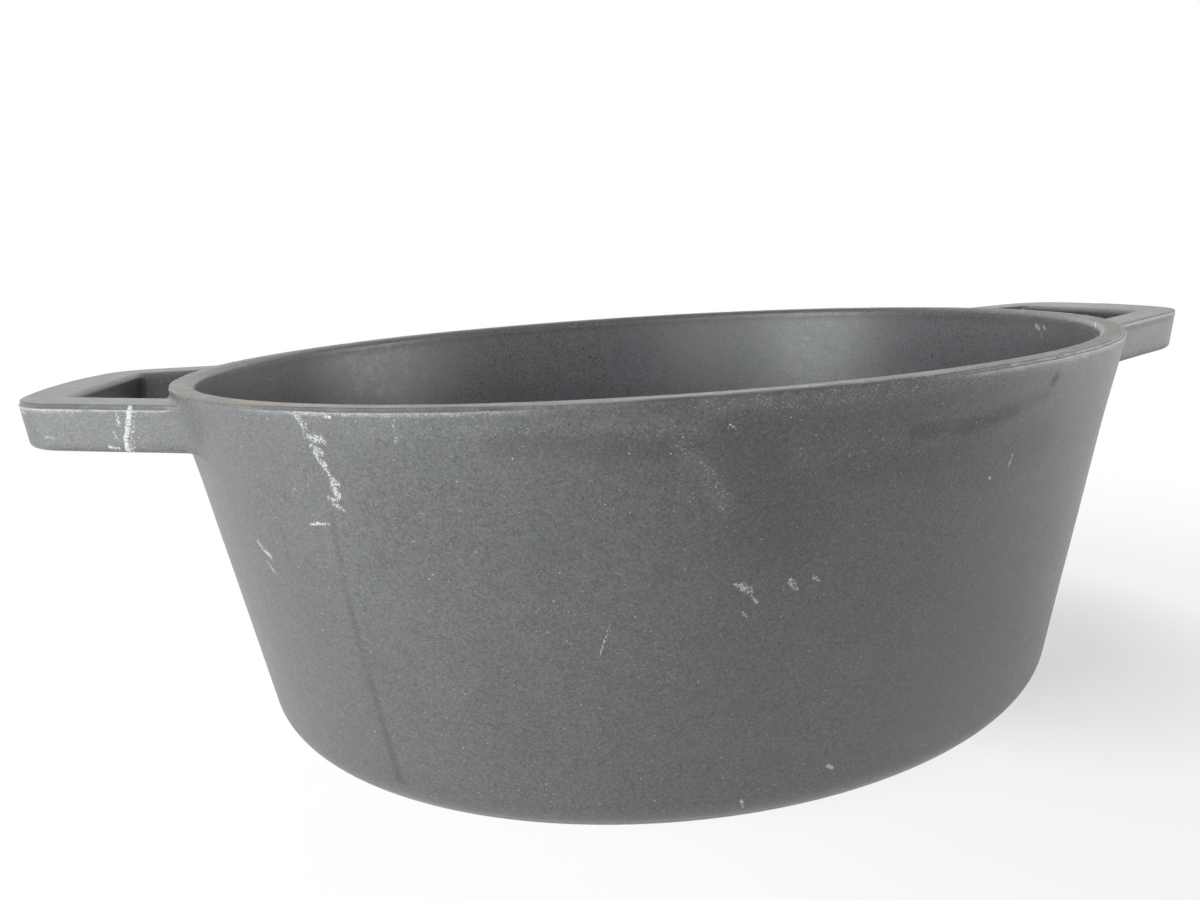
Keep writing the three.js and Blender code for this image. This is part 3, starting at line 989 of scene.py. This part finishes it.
# Real stains, and wide soft patches of painted shade over the upper front of the wall under the rim
STAINS_AND_FRONT_SHADE = [
    (-597, -1101, 1006, -228, -1191, 984, 5, 0.3),
    (-141, -1200, 980, -49, -1174, 800, 16, 0.3),
    (13, -1202, 940, 400, -1158, 920, 11, 0.25),
    (224, -1188, 964, 386, -1158, 957, 3.4, 0.65),
    (386, -1158, 957, 496, -1131, 978, 3.4, 0.6),
    (496, -1131, 978, 600, -1096, 996, 2.6, 0.35),
    (626, -1092, 1030, 620, -1094, 1024, 2.4, 0.8),
    (499, -1130, 979, 493, -1132, 976, 3.2, 0.65),
    (619, -1074, 884, 407, -1138, 852, 9, 0.2),
    (-953, -874, 827, -950, -841, 627, 1.6, 0.25),
    (-950, -841, 627, -929, -819, 413, 1.6, 0.3),
    (-929, -819, 413, -894, -795, 122, 1.8, 0.4),
]

RUST_ON_LIP = [
    (-1208, -610, 1078, -1132, -730, 1079, 1.6, 0.6),
    (-1132, -730, 1079, -1043, -816, 1079, 2.2, 1),
    (-1043, -816, 1079, -950, -894, 1079, 1.7, 0.8),
    (-340, -1156, 1080, -324, -1162, 1080, 1.4, 0.6),
    (-270, -1184, 1080, -256, -1188, 1080, 1.3, 0.6),
    (10, -1201, 1080, 24, -1201, 1080, 1.3, 0.6),
    (1399, -86, 1078, 1375, -254, 1079, 1.8, 0.3),
]


def object_place(tree):
    return add_node(tree, "TexCoord").outputs["Object"]


def piece_value(tree, name):
    """A value that the piece carries on its own vertices."""
    return add_node(tree, "Attribute", attribute_name=name).outputs["Fac"]


def marks(tree, place, strokes):
    """The fullest cover of a list of strokes."""
    fullest = None
    for *ends, half_width, cover in strokes:
        start = Vector(ends[:3]) * TENTH_MM
        reach = Vector(ends[3:]) * TENTH_MM - start
        settings = {"Place": place, "Start": start, "Half Width": half_width * MM, "Cover": cover}
        settings |= {"Reach": reach, "Along": reach / reach.length_squared}
        stroke = add_node(tree, "Group", settings, node_tree=STROKE).outputs["Cover"]
        fullest = reckon(tree, "MAXIMUM", fullest, stroke) if fullest else stroke
    return fullest


def clouded_marks(tree, place, strokes):
    """The cover of some strokes, made uneven by drifting clouds."""
    if not strokes:
        return 0.0
    drift = speckle(tree, place, 130, 4, 0.62)
    return times(tree, marks(tree, place, strokes), soft_step(tree, drift, 0.1, 0.55))


def add_chalk(tree, place, colour, strokes):
    """Pale chalky crumbs along some strokes."""
    cover = marks(tree, place, strokes)
    crumbs = add_node(tree, "Group", {"Place": place, "Cover": cover}, node_tree=CRUMBS)
    return blend_colour(tree, crumbs.outputs["Mask"], colour, CHALK)


def new_iron(name, scuffs, stains_and_shade):
    """A material of the cast skin, with scuffs, stains and painted shade along some strokes."""
    material = bpy.data.materials.new(name)
    material.use_nodes = True
    tree = material.node_tree
    shader = tree.nodes["Principled BSDF"]
    place = object_place(tree)
    settings = {
        "Place": place,
        "Inside": piece_value(tree, "pot_inside"),
        "Scuff": clouded_marks(tree, place, scuffs),
        "Stain And Shade": clouded_marks(tree, place, stains_and_shade),
    }
    skin = add_node(tree, "Group", settings, node_tree=SKIN)
    shader.inputs["Specular IOR Level"].default_value = 0.9
    relief = {"Strength": 0.6, "Distance": 0.12 * MM, "Height": skin.outputs["Height"]}
    bump = add_node(tree, "Bump", relief)
    tree.links.new(bump.outputs[0], shader.inputs["Normal"])
    return material, tree, shader, place, skin.outputs


def finish_iron(tree, shader, place, colour, roughness, strokes, with_edges):
    """Puts the worn edges and the chalk of a piece on its skin, and the skin on the shader."""
    if with_edges:
        settings = {"Place": place, "Color": colour, "Roughness": roughness}
        settings["Groove"] = piece_value(tree, "dark_groove")
        settings["Worn"] = piece_value(tree, "worn_edge")
        edges = add_node(tree, "Group", settings, node_tree=EDGES)
        colour, roughness = edges.outputs["Color"], edges.outputs["Roughness"]
    if strokes:
        colour = add_chalk(tree, place, colour, strokes)
    tree.links.new(colour, shader.inputs["Base Color"])
    tree.links.new(roughness, shader.inputs["Roughness"])


def cast_iron(name, strokes, with_edges, scuffs=(), stains_and_shade=()):
    """Seasoned iron with a piece's own chalk, worn edges, scuffs, stains and painted shade where it has
    them.
    """
    material, tree, shader, place, skin = new_iron(name, scuffs, stains_and_shade)
    finish_iron(tree, shader, place, skin["Color"], skin["Roughness"], strokes, with_edges)
    return material


def lip_iron(name):
    """Bare ground iron on the lip's flat top, with rust on it, and the wall's skin on its sides."""
    material, tree, shader, place, skin = new_iron(name, PALE_SCUFFS, ())
    ragged = speckle(tree, place, 700, 4, 0.7)
    cloud = speckle(tree, place, 130, 3, 0.6)
    bare = blend_colour(tree, soft_step(tree, cloud, 0.3, 0.7), BARE_DARK, BARE_PALE)
    bare = shade_colour(tree, bare, swing(tree, 1.0, ragged, 1.2))
    pitting = speckle(tree, place, 800, 3, 0.75)
    pit = times(tree, soft_step(tree, pitting, 0.5, 0.6), piece_value(tree, "pitted_edge"))
    shown = soft_step(tree, swing(tree, piece_value(tree, "ground_top"), ragged, 1.4), 0.25, 0.75)
    colour = blend_colour(tree, shown, skin["Color"], bare)
    colour = blend_colour(tree, pit, colour, LIP_PIT)
    rust = swing(tree, marks(tree, place, RUST_ON_LIP), speckle(tree, place, 380, 4, 0.65), 1.2)
    rust = times(tree, soft_step(tree, rust, 0.2, 0.7), 0.75)
    orange = blend_colour(tree, soft_step(tree, ragged, 0.3, 0.7), RUST_DARK, RUST_PALE)
    colour = blend_colour(tree, rust, colour, orange)
    roughness = swing(tree, times_plus(tree, shown, 0.14, skin["Roughness"]), ragged, 0.3)
    finish_iron(tree, shader, place, colour, roughness, CHALK_ON_LIP, with_edges=True)
    return material


# The white room round the pot
FILL_LEVEL = 0.01
COOL_LIGHT = (0.97, 1.0, 1.0)
WARM_LIGHT = (1.0, 1.0, 0.985)
FRONT_ROOM = 0.5
ROOM_IN_SKY = (-0.8, -0.1)
ROOM_ON_FLOOR = (-0.34, -0.14)
FLOOR_RADIUS = 6
SHEET_WHITE = (0.92, 0.92, 0.92, 1)
# Painted shadow: round this heart the floor shows less white glow and more of its grey lit sheet
SHADOW_HEART = (0.115, -0.045, 0)
SHADOW_REACH = 0.3
SHADOW_FADE = [(0.02, 0.6), (0.045, 0.68), (0.075, 0.84), (0.11, 0.865), (0.16, 0.935), (0.25, 1.0)]


def seen_directly(tree, reflected):
    """1 for camera and transmission rays, a share for glossy rays, 0 for rays that light the pot."""
    path = add_node(tree, "LightPath").outputs
    glossy = times(tree, path["Is Glossy Ray"], reflected)
    seen = reckon(tree, "MAXIMUM", path["Is Camera Ray"], path["Is Transmission Ray"])
    return reckon(tree, "MAXIMUM", seen, glossy)


def behind_front(tree, vector, start, end):
    """A share that grows from the dim room in front to the full white round the rest of the pot."""
    across = add_node(tree, "SeparateXYZ", {"Vector": vector}).outputs["Y"]
    return times_plus(tree, soft_step(tree, across, start, end), 1 - FRONT_ROOM, FRONT_ROOM)


def white_surround():
    """White where it is seen or reflected, a plain soft fill where it lights the pot."""
    world = bpy.data.worlds.new("white_surround")
    world.use_nodes = True
    bpy.context.scene.world = world
    tree = world.node_tree
    direction = add_node(tree, "TexCoord").outputs["Generated"]
    seen = seen_directly(tree, behind_front(tree, direction, *ROOM_IN_SKY))
    colour = blend_colour(tree, seen, (FILL_LEVEL, FILL_LEVEL, FILL_LEVEL), (1, 1, 1))
    tree.links.new(colour, tree.nodes["Background"].inputs["Color"])


def pale_floor():
    """A white sheet under the pot that keeps its shadow and runs out into the white surround. Round the
    shadow's heart a ramp lets the grey lit sheet show through the white glow: a painted shadow over the
    real one.
    """
    bm = bmesh.new()
    bmesh.ops.create_circle(bm, cap_ends=True, segments=64, radius=FLOOR_RADIUS)
    mesh = bpy.data.meshes.new("pale_floor")
    bm.to_mesh(mesh)
    bm.free()
    floor = bpy.data.objects.new("pale_floor", mesh)
    bpy.context.collection.objects.link(floor)
    material = bpy.data.materials.new("white_sheet")
    material.use_nodes = True
    tree = material.node_tree
    tree.nodes.clear()
    sheet = add_node(tree, "BsdfDiffuse", {"Color": SHEET_WHITE})
    glow = add_node(tree, "Emission", {"Color": (1, 1, 1, 1), "Strength": 1.0})
    reach = reckon_vector(tree, "DISTANCE", object_place(tree), SHADOW_HEART)
    whiten = add_node(tree, "ValToRGB", {"Fac": reckon(tree, "DIVIDE", reach, SHADOW_REACH)})
    stops = whiten.color_ramp.elements
    stops[0].position = SHADOW_FADE[0][0] / SHADOW_REACH
    stops[1].position = SHADOW_FADE[-1][0] / SHADOW_REACH
    for distance, _ in SHADOW_FADE[1:-1]:
        stops.new(distance / SHADOW_REACH)
    for stop, (_, share) in zip(stops, SHADOW_FADE):
        stop.color = (share, share, share, 1)
    seen = seen_directly(tree, behind_front(tree, object_place(tree), *ROOM_ON_FLOOR))
    share = times(tree, seen, whiten.outputs["Color"])
    mixed = add_node(tree, "MixShader", {0: share, 1: sheet.outputs[0], 2: glow.outputs[0]})
    add_node(tree, "OutputMaterial", {"Surface": mixed.outputs[0]})
    mesh.materials.append(material)


def soft_window(name, bearing, rise, distance, size, power, colour=COOL_LIGHT):
    """A wide soft lamp that faces the pot like a window, seen only as a reflection.

    The bearing is counted from +X towards +Y and the rise from the floor, both in degrees."""
    light = bpy.data.lights.new(name, "AREA")
    light.shape = "RECTANGLE"
    light.size, light.size_y = size
    light.energy = power
    light.color = colour
    lamp = bpy.data.objects.new(name, light)
    across, up = math.radians(bearing), math.radians(rise)
    level = Vector((math.cos(across), math.sin(across), 0))
    place = distance * (level * math.cos(up) + Vector((0, 0, math.sin(up))))
    aim = Vector((0, 0, POT_TOP / 2)) - place
    lamp.matrix_world = Matrix.Translation(place) @ aim.to_track_quat("-Z", "Y").to_matrix().to_4x4()
    lamp.visible_camera = False
    bpy.context.collection.objects.link(lamp)


def photo_camera():
    """The camera where it stood: low, close in front of the pot, turned a little to the right."""
    data = bpy.data.cameras.new("photo_camera")
    data.sensor_fit = "HORIZONTAL"
    data.sensor_width = 36
    data.lens = 23.617
    data.clip_start = 0.01
    camera = bpy.data.objects.new("photo_camera", data)
    right = Vector((0.97705, -0.20504, -0.05775))
    up = Vector((0.1014, 0.20927, 0.97259))
    back = Vector((-0.18733, -0.95612, 0.22526))
    turn = Matrix((right, up, back)).transposed()
    place = Vector((-69.373, -258.134, 132.208)) * MM
    camera.matrix_world = Matrix.Translation(place) @ turn.to_4x4()
    bpy.context.collection.objects.link(camera)
    bpy.context.scene.camera = camera


photo_camera()
white_surround()
pale_floor()
soft_window("left_window", 205, 10, 1.1, (0.6, 0.36), 0.9)
soft_window("left_near_lamp", 200, 10, 0.4, (0.25, 0.25), 0.27)
soft_window("left_front_lamp", 215, 10, 0.4, (0.25, 0.25), 0.26)
soft_window("left_high_lamp", 215, 35, 0.45, (0.25, 0.25), 0.78)
soft_window("front_window", 250, 11, 1.1, (0.3, 0.3), 1.1)
soft_window("right_front_window", 335, 10, 1.1, (0.6, 0.36), 1.05, WARM_LIGHT)
soft_window("right_window", 350, 10, 1.1, (0.6, 0.36), 1.85, WARM_LIGHT)
soft_window("right_near_lamp", 345, 10, 0.5, (0.3, 0.3), 0.24, WARM_LIGHT)
soft_window("back_right_window", 50, 25, 1.1, (0.7, 0.5), 0.6)
soft_window("back_window", 90, 28, 1.1, (1.4, 0.5), 0.9)
soft_window("back_high_window", 90, 50, 1.1, (1.2, 0.5), 1.8)

SKIN = sand_cast_skin_group()
STROKE = stroke_group()
CRUMBS = crumbs_group()
EDGES = cast_edges_group()
WALL_IRON = cast_iron("seasoned_iron_wall", CHALK_ON_WALL, False, PALE_SCUFFS, STAINS_AND_FRONT_SHADE)
HANDLE_IRON = cast_iron("seasoned_iron_handles", CHALK_ON_HANDLE, True)
FLOOR_IRON = cast_iron("seasoned_iron_floor", [], False)
LIP_IRON = lip_iron("ground_rim_iron")

floor_plate(FLOOR_IRON)
leaning_wall(WALL_IRON)
ground_lip(LIP_IRON)
loop_handle("right_loop_handle", "right_handle", HANDLE_IRON, half_turn=False, step_left=0.25)
loop_handle("left_loop_handle", "left_handle", HANDLE_IRON, half_turn=True, step_left=1.0)

bpy.context.scene.view_settings.view_transform = "Standard"
